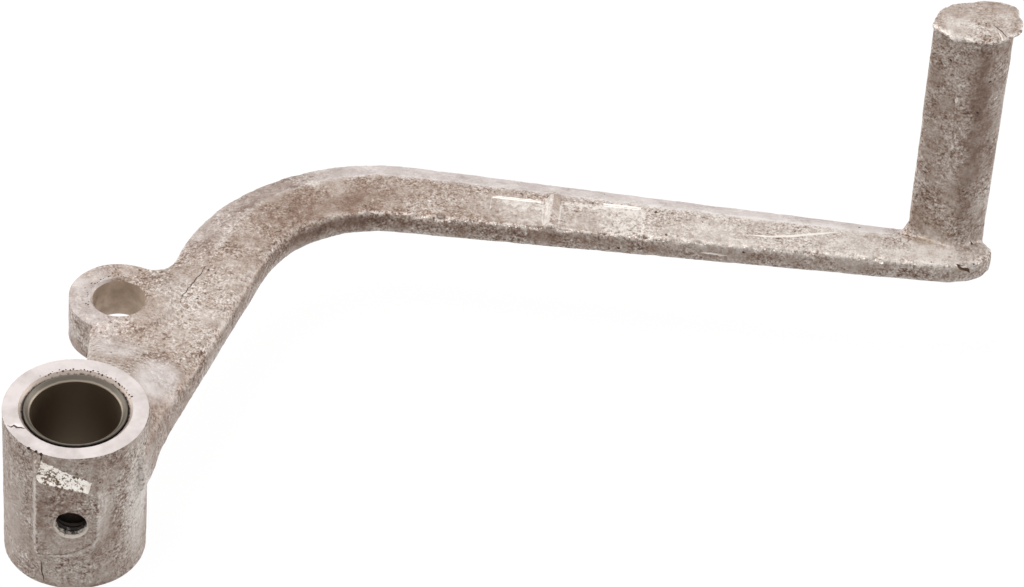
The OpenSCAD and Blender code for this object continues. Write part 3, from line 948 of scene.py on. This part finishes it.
@dataclass
class LeverCasting:
    """The casting: pattern, blank, rough skin, machining and finish."""

    pattern: bpy.types.Object
    sizes: LeverSizes = SIZES
    voxel: float = 0.53
    tool_reach: float = 6.0
    seed: int = 7
    pore_count: int = 70
    chip_count: int = 60
    finishes: dict[Finish, bpy.types.Material] = field(default_factory=dict, init=False)
    pore_places: list[Pit] = field(default_factory=list, init=False)
    edge_chips: list[Pit] = field(default_factory=list, init=False)

    def build(self) -> bpy.types.Object:
        """Builds the finished casting.

        Returns:
            The casting, in metres.
        """
        sharp_from_deg = 38
        self.finishes = {kind: finish.build() for kind, finish in lever_finishes(self.sizes).items()}
        blank = self.grow_blank()
        self.soften(blank)
        self.roughen(blank)
        self.mark(blank)
        self.machine(blank)
        self.colour_zones(blank)
        move(blank, Matrix.Scale(MM, 4))
        count = len(blank.data.polygons)
        blank.data.polygons.foreach_set("use_smooth", np.ones(count, bool))
        blank.data.set_sharp_from_angle(angle=math.radians(sharp_from_deg))
        return blank

    def machining_stock(self) -> list[bpy.types.Object]:
        """Extra metal that the machining takes off again, so that cut edges come out crisp.

        Returns:
            Closed solids in mm.
        """
        s = self.sizes
        spare, bite, wall = 2.0, 1.5, 1.5
        top = s.hub_half
        r1, r0, plug_r = s.hub_top_r, s.hub_base_r, s.seat_r + wall
        stock = [
            lathe("hub_top_stock", [(r1, top - bite), (r1, top + spare)]),
            lathe("hub_low_stock", [(r0, -top - spare), (r0, -top + bite)]),
            lathe("hub_plug", [(plug_r, -top), (plug_r, top)]),
        ]
        z0, z1 = s.eye_top - s.eye_t, s.eye_top
        eye_plug_r = s.eye_bore_r + wall
        eye = [
            lathe("eye_top_stock", [(s.eye_r, z1 - 1), (s.eye_r, z1 + spare)]),
            lathe("eye_low_stock", [(s.eye_r, z0 - spare), (s.eye_r, z0 + 1)]),
            lathe("eye_plug", [(eye_plug_r, z0), (eye_plug_r, z1)]),
        ]
        for thing in eye:
            move(thing, Matrix.Translation((*s.eye_xy, 0)))
        port_r = s.tap_mouth_r + 0.4
        port = lathe("port_plug", [(port_r, s.seat_r - 1), (port_r, s.pad_y - 0.1)])
        return [*stock, *eye, move(port, s.tap_frame())]

    def grow_blank(self) -> bpy.types.Object:
        """Grows one even skin over the pattern and the machining stock.

        Returns:
            The blank, in mm.
        """
        blank = bpy.data.objects.new("lever_casting_skin", self.pattern.data.copy())
        bpy.context.scene.collection.objects.link(blank)
        blank.data.materials.clear()
        move(blank, Matrix.Scale(1 / MM, 4))
        join([blank, *self.machining_stock()])
        grower = blank.modifiers.new("grow", "REMESH")
        grower.mode = "VOXEL"
        grower.voxel_size = self.voxel
        apply_modifiers(blank)
        for material in self.finishes.values():
            blank.data.materials.append(material)
        log.info("blank grown: %d points", len(blank.data.vertices))
        return blank

    def soften(self, blank: bpy.types.Object) -> None:
        """Rounds the edges of the blank, and fills the corner where the hub meets web and arm.

        Args:
            blank: the grown blank.
        """
        s = self.sizes
        skin = Skin(blank.data)
        p = skin.points
        radius = np.hypot(p[:, 0], p[:, 1])
        beside_hub = 1 - ramp(np.abs(radius - s.hub_top_r), 2.0, 5.0)
        junction = beside_hub * ramp(p[:, 1], 1.0, 6.0)
        junction *= ramp(p[:, 2], -16.0, -12.0) * (1 - ramp(p[:, 2], 16.5, 18.5))
        at_rib = (np.abs(p[:, 0] - s.rib_x) < 2.6) & (p[:, 2] > s.arm_top - 0.5) & (p[:, 1] > 80)
        edge_rounds, fillet_rounds, fillet_weight = 3, 40, 0.5
        rib_weight, near_weight, edge_weight = 0.15, 0.25, 0.5
        at_top = np.abs(p[:, 2] - s.arm_top + 0.5) < 1.5
        near_edge = (p[:, 0] > 40) & at_top & (skin.normals[:, 1] < -0.1)
        first = np.where(at_rib, rib_weight, np.where(near_edge, near_weight, edge_weight))
        fillet = junction * fillet_weight
        for i in range(fillet_rounds):
            weight = np.maximum(first, fillet) if i < edge_rounds else fillet
            skin.points = skin.points + weight[:, None] * (skin.around(skin.points) - skin.points)
        skin.store()

    def roughen(self, blank: bpy.types.Object) -> None:
        """Gives the skin the swells of a sand mould, and bruises its edges.

        Args:
            blank: the softened blank.
        """
        s = self.sizes
        skin = Skin(blank.data)
        p = skin.points
        # Curvature in mm per ring of neighbours: where edges and hollows start, and how soon full
        edge_from, edge_over, hollow_from, hollow_over = 0.014, 0.045, 0.012, 0.05
        wear_share, hollow_share = 0.9, 0.7
        bend = ((p - skin.around(p)) * skin.normals).sum(1)
        for _ in range(3):
            bend = 0.5 * (bend + skin.around(bend))
        proud = np.clip((bend - edge_from) / edge_over, 0, 1)
        sunk = np.clip((-bend - hollow_from) / hollow_over, 0, 1)
        swell = grain_of(p, 6.0) * 0.09 + grain_of(p, 2.4, 3.0) * 0.05
        fine = grain_of(p, 1.3, 5.0)
        fine_depth, bruise_bias, ragged_depth = 0.03, 0.15, 0.5
        # The near edge of the arm is ragged all along
        near_edge = (p[:, 0] > 40) & (p[:, 2] > s.arm_top - 2.5) & (p[:, 2] < s.arm_top + 0.5)
        rough_edge = np.where(near_edge & (skin.normals[:, 1] < -0.2), 1.1, 0.45)
        bruise = proud * np.clip(fine + grain_of(p, 3.2, 7.0) + bruise_bias, 0, 1) * rough_edge
        # The lip of the cap is ragged where it overhangs the front of the peg
        at_lip = ramp(p[:, 2], s.peg_top - s.cap_t - 0.6, s.peg_top - s.cap_t) * proud
        ragged = at_lip * (grain_of(p * np.array([1, 1, 0.2]), 2.6, 9.0) * ragged_depth)
        shift = swell + fine * fine_depth - bruise + ragged
        skin.points = p + skin.normals * shift[:, None]
        skin.store()
        skin.keep("edge_wear", proud * wear_share)
        skin.keep("hollow", sunk * hollow_share)
        at_edge = near_edge & (p[:, 0] > 60) & (proud > 0.55) & (skin.normals[:, 1] < -0.3)
        self.edge_chips = self.scatter(skin, at_edge, self.chip_count, (0.12, 0.32), 1.1)
        radius = np.hypot(p[:, 0], p[:, 1])
        eye = np.hypot(p[:, 0] - s.eye_xy[0], p[:, 1] - s.eye_xy[1])
        open_skin = ((radius > s.hub_top_r - 0.5) | (np.abs(p[:, 2]) < 18)) & (eye > s.eye_r)
        open_skin &= radius > s.seat_r + 2.5
        self.pore_places = self.scatter(skin, open_skin, self.pore_count, (0.12, 0.30), 2.0)

    def scatter(
        self, skin: Skin, allowed: np.ndarray, count: int, radii: tuple[float, float], apart: float
    ) -> list[Pit]:
        """Chooses places for pits on the skin, apart from each other.

        Args:
            skin: the skin as arrays.
            allowed: true for each point where a pit may lie.
            count: number of pits.
            radii: least and greatest radius.
            apart: least distance between two pits.

        Returns:
            The pits.
        """
        rng = random.Random(self.seed + count)
        numbers = np.flatnonzero(allowed)
        pits: list[Pit] = []
        while len(pits) < count:
            i = int(numbers[rng.randrange(len(numbers))])
            place, r = tuple(map(float, skin.points[i])), rng.uniform(*radii)
            if all(math.dist(place, other.place) > apart for other in pits):
                pits.append(Pit(place, r, r * 0.7, tuple(map(float, skin.normals[i])), seen=False))
        return pits

    def cut(
        self, blank: bpy.types.Object, tool: bpy.types.Object, finish: Finish, how: str = "DIFFERENCE"
    ) -> None:
        """Takes the volume of a tool off the blank, and leaves its finish on the cut.

        Args:
            blank: the casting.
            tool: closed solid; it is used up.
            finish: finish of the cut faces.
            how: DIFFERENCE, or UNION to add the volume instead.
        """
        tool.data.materials.clear()
        tool.data.materials.append(self.finishes[finish])
        cutter = blank.modifiers.new("cut", "BOOLEAN")
        cutter.operation = how
        cutter.solver = "MANIFOLD"
        cutter.object = tool
        apply_modifiers(blank)
        discard(tool)

    def cut_pits(self, blank: bpy.types.Object, pits: Sequence[Pit], skin: BVHTree, finish: Finish) -> None:
        """Cuts pits that don't touch each other, all at once.

        Args:
            blank: the casting.
            pits: the pits.
            skin: the surface that they are in.
            finish: finish of their faces.
        """
        tools = [pit.build(skin, i + 1) for i, pit in enumerate(pits)]
        self.cut(blank, join(tools), finish)

    def mark(self, blank: bpy.types.Object) -> None:
        """Cuts what happened to the cast skin: pores, cracks, the crease and the scratches.

        Args:
            blank: the casting.
        """
        skin = BVHTree.FromObject(blank, bpy.context.evaluated_depsgraph_get())
        for groove in CAST_GROOVES:
            self.cut(blank, groove.build(skin), groove.finish)
        self.cut_pits(blank, CAST_PITS, skin, Finish.CRACK)
        self.cut_pits(blank, self.pitted_cluster(), skin, Finish.CAST)
        self.cut_pits(blank, [*BRIGHT_PITS, *self.edge_chips], skin, Finish.BRIGHT)
        self.cut_pits(blank, self.pore_places, skin, Finish.CRACK)
        log.info("skin marked: %d grooves, %d pores", len(CAST_GROOVES), len(self.pore_places))

    def machine_hub(self, blank: bpy.types.Object) -> None:
        """Faces the hub on both sides and bores the seat of the bush.

        Args:
            blank: the casting.
        """
        s = self.sizes
        top, r, c = s.hub_half, s.seat_r, s.seat_chamfer
        over, mouth, reach = s.hub_top_r + 4, s.seat_r + c + 1, self.tool_reach
        for name, profile, steps, finish in (
            ("face_top", [(over, top), (over, top + reach)], 128, Finish.FACED),
            ("face_low", [(over, -top - reach), (over, -top)], 128, Finish.FACED),
            ("seat_high", [(r, top - c), (mouth, top + 1)], 128, Finish.SEAT),
            ("seat_low", [(mouth, -top - 1), (r, -top + c)], 128, Finish.SEAT),
            ("seat_bore", [(r, -top - 1), (r, top + 1)], 192, Finish.SEAT),
        ):
            self.cut(blank, lathe(name, profile, steps), finish)

    def machine_eye(self, blank: bpy.types.Object) -> None:
        """Faces the rod eye on both sides, bores it and breaks the edges of the hole.

        Args:
            blank: the casting.
        """
        s = self.sizes
        z0, z1, reach = s.eye_top - s.eye_t, s.eye_top, self.tool_reach
        place = Matrix.Translation((*s.eye_xy, 0))
        face_r, r = s.eye_r + 0.9, s.eye_bore_r
        low, high = s.eye_breaks
        for name, profile, finish in (
            ("eye_face_high", [(face_r, z1), (face_r, z1 + reach)], Finish.CAST),
            ("eye_face_low", [(face_r, z0 - reach), (face_r, z0)], Finish.FACED),
            ("eye_break_high", [(r, z1 - high), (r + high + 1, z1 + 1)], Finish.CAST),
            ("eye_break_low", [(r + low + 1, z0 - 1), (r, z0 + low)], Finish.FACED),
            ("eye_bore", [(r, z0 - 1), (r, z1 + 1)], Finish.BORED),
        ):
            self.cut(blank, move(lathe(name, profile), place), finish)

    def machine(self, blank: bpy.types.Object) -> None:
        """Machines hub and eye, drills and taps the pad and grinds the panels.

        Args:
            blank: the casting.
        """
        s = self.sizes
        self.machine_hub(blank)
        self.machine_eye(blank)
        self.cut(blank, self.tap(), Finish.TAPPED)
        passage = lathe("passage", [(s.grease_r, s.seat_r - 1), (s.grease_r, s.tap_bottom + 0.5)], 32)
        self.cut(blank, move(passage, s.tap_frame()), Finish.CRACK)
        for tool, finish in (*self.panel_tools(), *self.pad_tools()):
            self.cut(blank, tool, finish)
        for tool, finish in self.rib_halves():
            self.cut(blank, tool, finish, "UNION")
        skin = BVHTree.FromObject(blank, bpy.context.evaluated_depsgraph_get())
        for groove in RING_GROOVES:
            self.cut(blank, groove.build(skin), groove.finish)
        for pits in (RIM_PITS, self.porosity(), self.eye_specks()):
            self.cut_pits(blank, pits, skin, Finish.CRACK)
        log.info("casting machined: %d faces", len(blank.data.polygons))

    def pitted_cluster(self) -> list[Pit]:
        """The pits that lie close together before the foot of the peg.

        Returns:
            The pits.
        """
        rng = random.Random(self.seed + 3)
        pits: list[Pit] = []
        while len(pits) < 22:
            place = (rng.uniform(172.4, 178.2), rng.uniform(91.2, 94.6), 12.0)
            if all(math.dist(place, other.place) > 0.75 for other in pits):
                pits.append(Pit(place, rng.uniform(0.16, 0.28), 0.22))
        return pits

    def arc_of_pits(
        self, draw: int, count: int, sweep: tuple[float, float], centre: Point,
        radius: float, spread: tuple[float, float], sizes: tuple[float, float],
    ) -> list[Pit]:
        """Lays pits one after another along an arc, each a little off its even place.

        Args:
            draw: which of the casting's random draws to use.
            count: number of pits.
            sweep: first and last angle in degrees.
            centre: centre of the arc.
            radius: radius of the arc.
            spread: how far inside and outside the arc pits may lie.
            sizes: least and greatest radius of a pit.

        Returns:
            The pits.
        """
        rng = random.Random(self.seed + draw)
        start, end = map(math.radians, sweep)
        pits = []
        for i in range(count):
            t = start + (end - start) * (i + rng.uniform(-0.25, 0.25)) / count
            r = radius + rng.uniform(*spread)
            size = rng.uniform(*sizes)
            x, y = centre[0] + r * math.cos(t), centre[1] + r * math.sin(t)
            pits.append(Pit((x, y, centre[2]), size, size))
        return pits

    def porosity(self) -> list[Pit]:
        """Gas pores that the facing opened along the far side of the seat."""
        s = self.sizes
        radius = s.seat_r + s.seat_chamfer
        centre = (0.0, 0.0, s.hub_half)
        return self.arc_of_pits(1, 34, (135, 20), centre, radius, (-0.35, 0.55), (0.1, 0.24))

    def eye_specks(self) -> list[Pit]:
        """Gas pores round the left side of the hole in the eye's face."""
        s = self.sizes
        centre = (*s.eye_xy, s.eye_top)
        return self.arc_of_pits(2, 30, (80, 225), centre, s.eye_bore_r, (0.9, 2.3), (0.08, 0.19))

    def panel_tools(self) -> list[tuple[bpy.types.Object, Finish]]:
        """Tools of the two ground panels, deeper at the far edge, with a painted highlight along the far
        edge of each.

        Returns:
            Each tool with the finish that it leaves.
        """
        s = self.sizes
        near_depth, far_depth, clear = 0.08, 0.22, 3.0
        tools = []
        spans = ((81.6, 94.3, 86.2, 94.9, 81.9), (97.6, 117.4, 86.9, 96.1, 107.4))
        for x0, x1, near_y, far_y, line_x0 in spans:
            z = s.arm_top
            low = [[near_y, z - near_depth], [far_y, z - far_depth]]
            section = np.array([*low, [far_y, z + clear], [near_y, z + clear]])
            rings = [np.array([[x, y, h] for y, h in section]) for x in (x0, x1)]
            tools.append((loft("panel", rings), Finish.PANEL))
            # The bright line along the far edge is a painted highlight where that edge catches the light
            ends = ((line_x0, far_y, z), (x1 - 1.2, far_y, z))
            line = Groove("panel_line", ends, 0.95, 0.35, Finish.BRIGHT)
            tools.append((loft(line.name, self.level_groove(line)), line.finish))
        return tools

    def pad_tools(self) -> list[tuple[bpy.types.Object, Finish]]:
        """Tools of the milled face of the pad and of the slope filed above it.

        Returns:
            Each tool with the finish that it leaves.
        """
        s = self.sizes
        depth, clear, ledge = 0.22, 3.0, 0.85
        face = np.array([[x, y, 0.0] for x, y in PAD_FACE])
        rings = [face + (0, 0, s.pad_y - depth), face + (0, 0, s.pad_y + clear)]
        milled = move(loft("pad_face", rings), s.pad_axes())
        start, end = (np.array([*spot, 0.0]) for spot in PAD_SLOPE)
        along = (end - start) / np.linalg.norm(end - start)
        up = np.array([-along[1], along[0], 0.0])
        rings = []
        for share in np.linspace(0, 1, 41):
            height, low = 4.8 - 2.2 * share, 16.1 + 0.3 * share
            second = low - ledge - 0.1 - 0.7 * (1 - 0.7 * share)
            base = start + share * (end - start)
            jag = [0.4 * noise.noise(Vector(base) * 1.7 + Vector((0, 0, k))) for k in (3.0, 8.0, 13.0)]
            section = (
                (-0.4, s.pad_y - depth + 0.02),
                (jag[0], low),
                (ledge + jag[0], low - ledge),
                (height - ledge + jag[1], low - ledge - 0.1),
                (height + jag[2], second),
                (height + 0.5, s.pad_y + clear),
                (-0.4, s.pad_y + clear),
            )
            rings.append(np.array([base + v * up + (0, 0, w) for v, w in section]))
        filed = move(loft("pad_slope", rings), s.pad_axes())
        return [(milled, Finish.PAD), (filed, Finish.FILED)]

    def rib_halves(self) -> list[tuple[bpy.types.Object, Finish]]:
        """The small rib across the arm: its left side in the paler panel finish as painted light from the
        left, and its right side in the plain skin of the pad.

        Returns:
            Each half with its finish.
        """
        s = self.sizes
        root, taper = 1.0, 0.7
        (y0, y1), z = s.rib_ends, s.arm_top
        halves = []
        # The left half is painted paler as the side that faces the light; the right half keeps the plain
        # skin
        for hand, finish in ((-1, Finish.PANEL), (1, Finish.PAD)):
            rings = []
            for y, share in ((y0, 0.1), (y0 + taper, 1.0), (y1 - taper, 1.0), (y1, 0.1)):
                top = z + s.rib_h * share
                outline = [(-s.rib_foot, z - root), (-s.rib_foot, z - 0.1)]
                outline += [(-s.rib_crest, top), (0.02, top), (0.02, z - root)]
                ring = [(s.rib_x - hand * x, y, h) for x, h in outline]
                rings.append(np.array(ring if hand < 0 else ring[::-1]))
            halves.append((loft("rib_half", rings), finish))
        return halves

    @staticmethod
    def level_groove(line: Groove) -> list[np.ndarray]:
        """Rings of a straight groove on a level face.

        Args:
            line: the groove.

        Returns:
            One ring at each end.
        """
        (x0, y, z), (x1, _, _) = line.line
        near, far = y - line.width / 2, y + line.width / 2
        section = ((far, z + 1), (near, z + 1), (near, z - line.depth), (far, z))
        return [np.array([[x, *corner] for corner in section]) for x in (x0, x1)]

    def tap(self) -> bpy.types.Object:
        """Solid of the tapped hole, with its thread groove and the edge break of its mouth.

        Returns:
            The tool, in its place on the pad.
        """
        s = self.sizes
        steps, per_turn, flank = 48, 12, 0.42
        t = np.linspace(0, 2 * math.pi, steps, endpoint=False)
        rings = []
        for z in np.arange(s.tap_bottom, s.pad_y + 1.0, s.thread_pitch / per_turn):
            phase = (z / s.thread_pitch - t / (2 * math.pi)) % 1.0
            groove = np.clip(1 - np.abs(phase - 0.5) / flank, 0, 1)
            mouth = s.tap_mouth_r - (s.pad_y - z)
            radius = np.maximum(s.tap_r + s.thread_depth * groove, mouth)
            rings.append(np.stack([radius * np.cos(t), radius * np.sin(t), np.full(steps, z)], 1))
        return move(loft("tap", rings), s.tap_frame())

    def colour_zones(self, blank: bpy.types.Object) -> None:
        """Keeps for each point how pale, how polished and how stained the skin is there.

        Args:
            blank: the machined casting, in mm.
        """
        s = self.sizes
        skin = Skin(blank.data)
        p = skin.points
        even_tone, warp_mm = 0.5, 2.0
        bevel_painted_light, more_painted_light_past_the_bend, ridge_painted_highlight, pad_edge_highlight = 0.06, 0.14, 0.16, 0.26
        painted_floor_light, painted_shade_under_the_edge = 0.10, 0.22
        bevel_polish, more_polish_past_the_bend = 0.35, 0.5
        tone = np.full(skin.count, even_tone)
        polish, calm, stain = (np.zeros(skin.count) for _ in range(3))
        warp = np.stack([grain_of(p, 7.0, seed) for seed in (11.0, 13.0, 17.0)], 1) * warp_mm
        for patch in WEAR_AND_PAINTED_LIGHT_PATCHES:
            weight = patch.weight(p + warp)
            tone += patch.tone * weight
            polish = np.maximum(polish, patch.polish * weight)
            calm = np.maximum(calm, patch.calm * weight)
            stain = np.maximum(stain, patch.stain * weight)
        # The far bevel was ground smooth along the whole arm; as a face tilted to the light it is painted
        # paler, more past the bend, and its ridge gets a painted highlight
        ahead = beyond(p, RIDGE) + 0.25 * grain_of(p, 2.0, 19.0)
        on_arm = ramp(p[:, 1], 58.0, 72.0) * (1 - ramp(p[:, 0], 172.0, 178.0)) * (p[:, 2] > s.arm_top - 4)
        bevel = on_arm * ramp(ahead, -0.2, 0.6)
        tone += (bevel_painted_light + more_painted_light_past_the_bend * ramp(p[:, 0], 34.0, 46.0)) * bevel
        tone += ridge_painted_highlight * on_arm * (1 - ramp(np.abs(ahead), 0.3, 1.1)) * (p[:, 2] > s.arm_top - 1)
        rubbed = bevel_polish + more_polish_past_the_bend * ramp(p[:, 0], 34.0, 52.0)
        polish = np.maximum(polish, rubbed * bevel)
        # Painted shade darkens the side of the arm under the ragged near edge, and painted light reflected
        # from the floor makes it paler towards its foot
        upright = 1 - ramp(skin.normals[:, 2], 0.2, 0.6)
        side = upright * (p[:, 0] > 22) * (p[:, 2] > 2) * (p[:, 2] < s.arm_top)
        tone += side * (painted_floor_light - painted_shade_under_the_edge * ramp(p[:, 2], 6.5, 9.5))
        # A painted highlight runs round the outside of the milled face of the pad, where its edge catches
        # the light
        local = p @ np.array(s.pad_axes().to_3x3())
        outside = -beyond(local, PAD_FACE)
        lip = ramp(outside, 0.1, 0.45) * (1 - ramp(outside, 0.6, 1.3))
        tone += pad_edge_highlight * lip * (local[:, 2] > 12) * (local[:, 1] < 12)
        kept = {"tone": tone, "polish": polish, "calm": calm, "stain": stain}
        for name, values in kept.items():
            skin.keep(name, values)


@dataclass
class PivotBush:
    """The pressed-in bush: its own solid, dressed in turned steel."""

    solid: bpy.types.Object
    sizes: LeverSizes = SIZES

    def dress(self) -> bpy.types.Object:
        """Gives the bush a dull steel rim that goes dark brown with old oil in the bore.

        Returns:
            The dressed bush.
        """
        steel = TurnedSteel("turned_bush_steel", self.sizes.pivot_r, self.sizes.seat_r).build()
        self.solid.data.materials.clear()
        self.solid.data.materials.append(steel)
        return self.solid


@dataclass(frozen=True)
class PhotoCamera:
    """Camera of the photograph, as it was fitted to the hub, the eye and the arm."""

    width: int = 1024
    height: int = 587
    focal_px: float = 5430.0
    down_deg: float = 41.4
    roll_deg: float = 4.27
    azimuth_deg: float = 2.9
    anchor_mm: Point = (0.0, 0.0, 19.7)
    anchor_px: tuple[float, float] = (75.5, 408.6)
    mm_per_px: float = 0.2172
    sensor_mm: float = 36.0

    def build(self) -> bpy.types.Object:
        """Places the camera and makes it the scene's own.

        Returns:
            The camera.
        """
        e, r = math.radians(self.down_deg), math.radians(self.roll_deg)
        forward = Vector((0, math.cos(e), -math.sin(e)))
        level_right = Vector((1, 0, 0))
        right = math.cos(r) * level_right - math.sin(r) * forward.cross(level_right)
        down = forward.cross(right)
        ray = forward + (self.anchor_px[0] - self.width / 2) / self.focal_px * right
        ray += (self.anchor_px[1] - self.height / 2) / self.focal_px * down
        turn = Matrix.Rotation(math.radians(self.azimuth_deg), 3, "Z")
        place = Vector(self.anchor_mm) - turn @ ray * (self.mm_per_px * self.focal_px)
        right, down, forward = turn @ right, turn @ down, turn @ forward
        data = bpy.data.cameras.new("photo_camera")
        data.sensor_width = self.sensor_mm
        data.lens = self.focal_px / self.width * self.sensor_mm
        data.clip_start, data.clip_end = 0.05, 20.0
        camera = bpy.data.objects.new("photo_camera", data)
        bpy.context.scene.collection.objects.link(camera)
        frame = Matrix((right, -down, -forward)).transposed().to_4x4()
        frame.translation = place * MM
        camera.matrix_world = frame
        bpy.context.scene.camera = camera
        return camera


@dataclass(frozen=True)
class Softbox:
    """A square soft light that looks at the middle of the lever; metres and watts."""

    name: str
    place: Point
    side: float
    watts: float

    def build(self) -> bpy.types.Object:
        """Hangs the light.

        Returns:
            The light.
        """
        data = bpy.data.lights.new(self.name, "AREA")
        data.shape, data.size, data.energy = "SQUARE", self.side, self.watts
        light = bpy.data.objects.new(self.name, data)
        bpy.context.scene.collection.objects.link(light)
        aim = Vector((0.09, 0.05, 0.0)) - Vector(self.place)
        turn = aim.to_track_quat("-Z", "Y").to_matrix().to_4x4()
        light.matrix_world = Matrix.Translation(self.place) @ turn
        return light


@dataclass(frozen=True)
class Studio:
    """Plain white studio: floor, soft lights and a white world."""

    floor_z_mm: float = -19.75
    floor_side: float = 6.0
    # What the world gives as light; to the camera it is full white
    fill: float = 0.24
    floor_tone: str = "#C4C4C4"
    floor_glow: float = 1.1
    floor_glow_share: float = 0.88
    lights: tuple[Softbox, ...] = (
        Softbox("top_light", (-0.30, 0.10, 1.1), 0.7, 8.2),
        Softbox("left_light", (-1.0, 0.35, 0.4), 0.6, 3.0),
        Softbox("right_light", (1.1, 0.5, 0.30), 0.6, 5.0),
    )

    def build(self) -> None:
        """Builds floor, world, lights and view transform."""
        scene = bpy.context.scene
        scene.view_settings.view_transform = "Standard"
        half, z = self.floor_side / 2, self.floor_z_mm * MM
        corners = [(-half, -half, z), (half, -half, z), (half, half, z), (-half, half, z)]
        floor = new_object("floor", corners, [(0, 1, 2, 3)])
        floor.data.materials.append(self.floor_material())
        scene.world = bpy.data.worlds.new("white_room")
        nodes = Nodes(scene.world)
        strength = nodes.span(self.seen(nodes), 0.0, 1.0, self.fill, 1.0)
        background = put(nodes.tree, "ShaderNodeBackground", {"Color": WHITE, "Strength": strength})
        nodes.surface("ShaderNodeOutputWorld", background)
        for light in self.lights:
            light.build()

    @staticmethod
    def seen(nodes: Nodes) -> Socket:
        """One for a ray of the camera or one that a gloss or glass sends on, else nought."""
        rays = put(nodes.tree, "ShaderNodeLightPath").outputs
        direct = nodes.math("MAXIMUM", rays["Is Camera Ray"], rays["Is Glossy Ray"])
        return nodes.math("MAXIMUM", direct, rays["Is Transmission Ray"])

    def floor_material(self) -> bpy.types.Material:
        """White paper: it renders white and keeps a faint soft shadow.

        Returns:
            The material.
        """
        material, nodes = new_material("white_paper")
        share = nodes.math("MULTIPLY", self.seen(nodes), self.floor_glow_share)
        paper = put(nodes.tree, "ShaderNodeBsdfDiffuse", {"Color": hex_to_linear(self.floor_tone)})
        glow = {"Color": WHITE, "Strength": self.floor_glow}
        white = put(nodes.tree, "ShaderNodeEmission", glow)
        inputs = {0: share, 1: paper.outputs[0], 2: white.outputs[0]}
        nodes.surface("ShaderNodeOutputMaterial", put(nodes.tree, "ShaderNodeMixShader", inputs))
        return material


def main() -> None:
    """Builds the lever and its studio in order."""
    logging.basicConfig(level=logging.INFO, format="%(name)s: %(message)s")
    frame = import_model()
    casting = LeverCasting(frame["nodes"]["lever_casting"]).build()
    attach(casting, "root")
    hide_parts("lever_casting")
    triangles = sum(len(face.vertices) - 2 for face in casting.data.polygons)
    log.info("%s: %d triangles", casting.name, triangles)
    bush = PivotBush(frame["nodes"]["pivot_bush"]).dress()
    log.info("%s: dressed", bush.name)
    Studio().build()
    PhotoCamera().build()


if __name__ == "__main__":
    main()
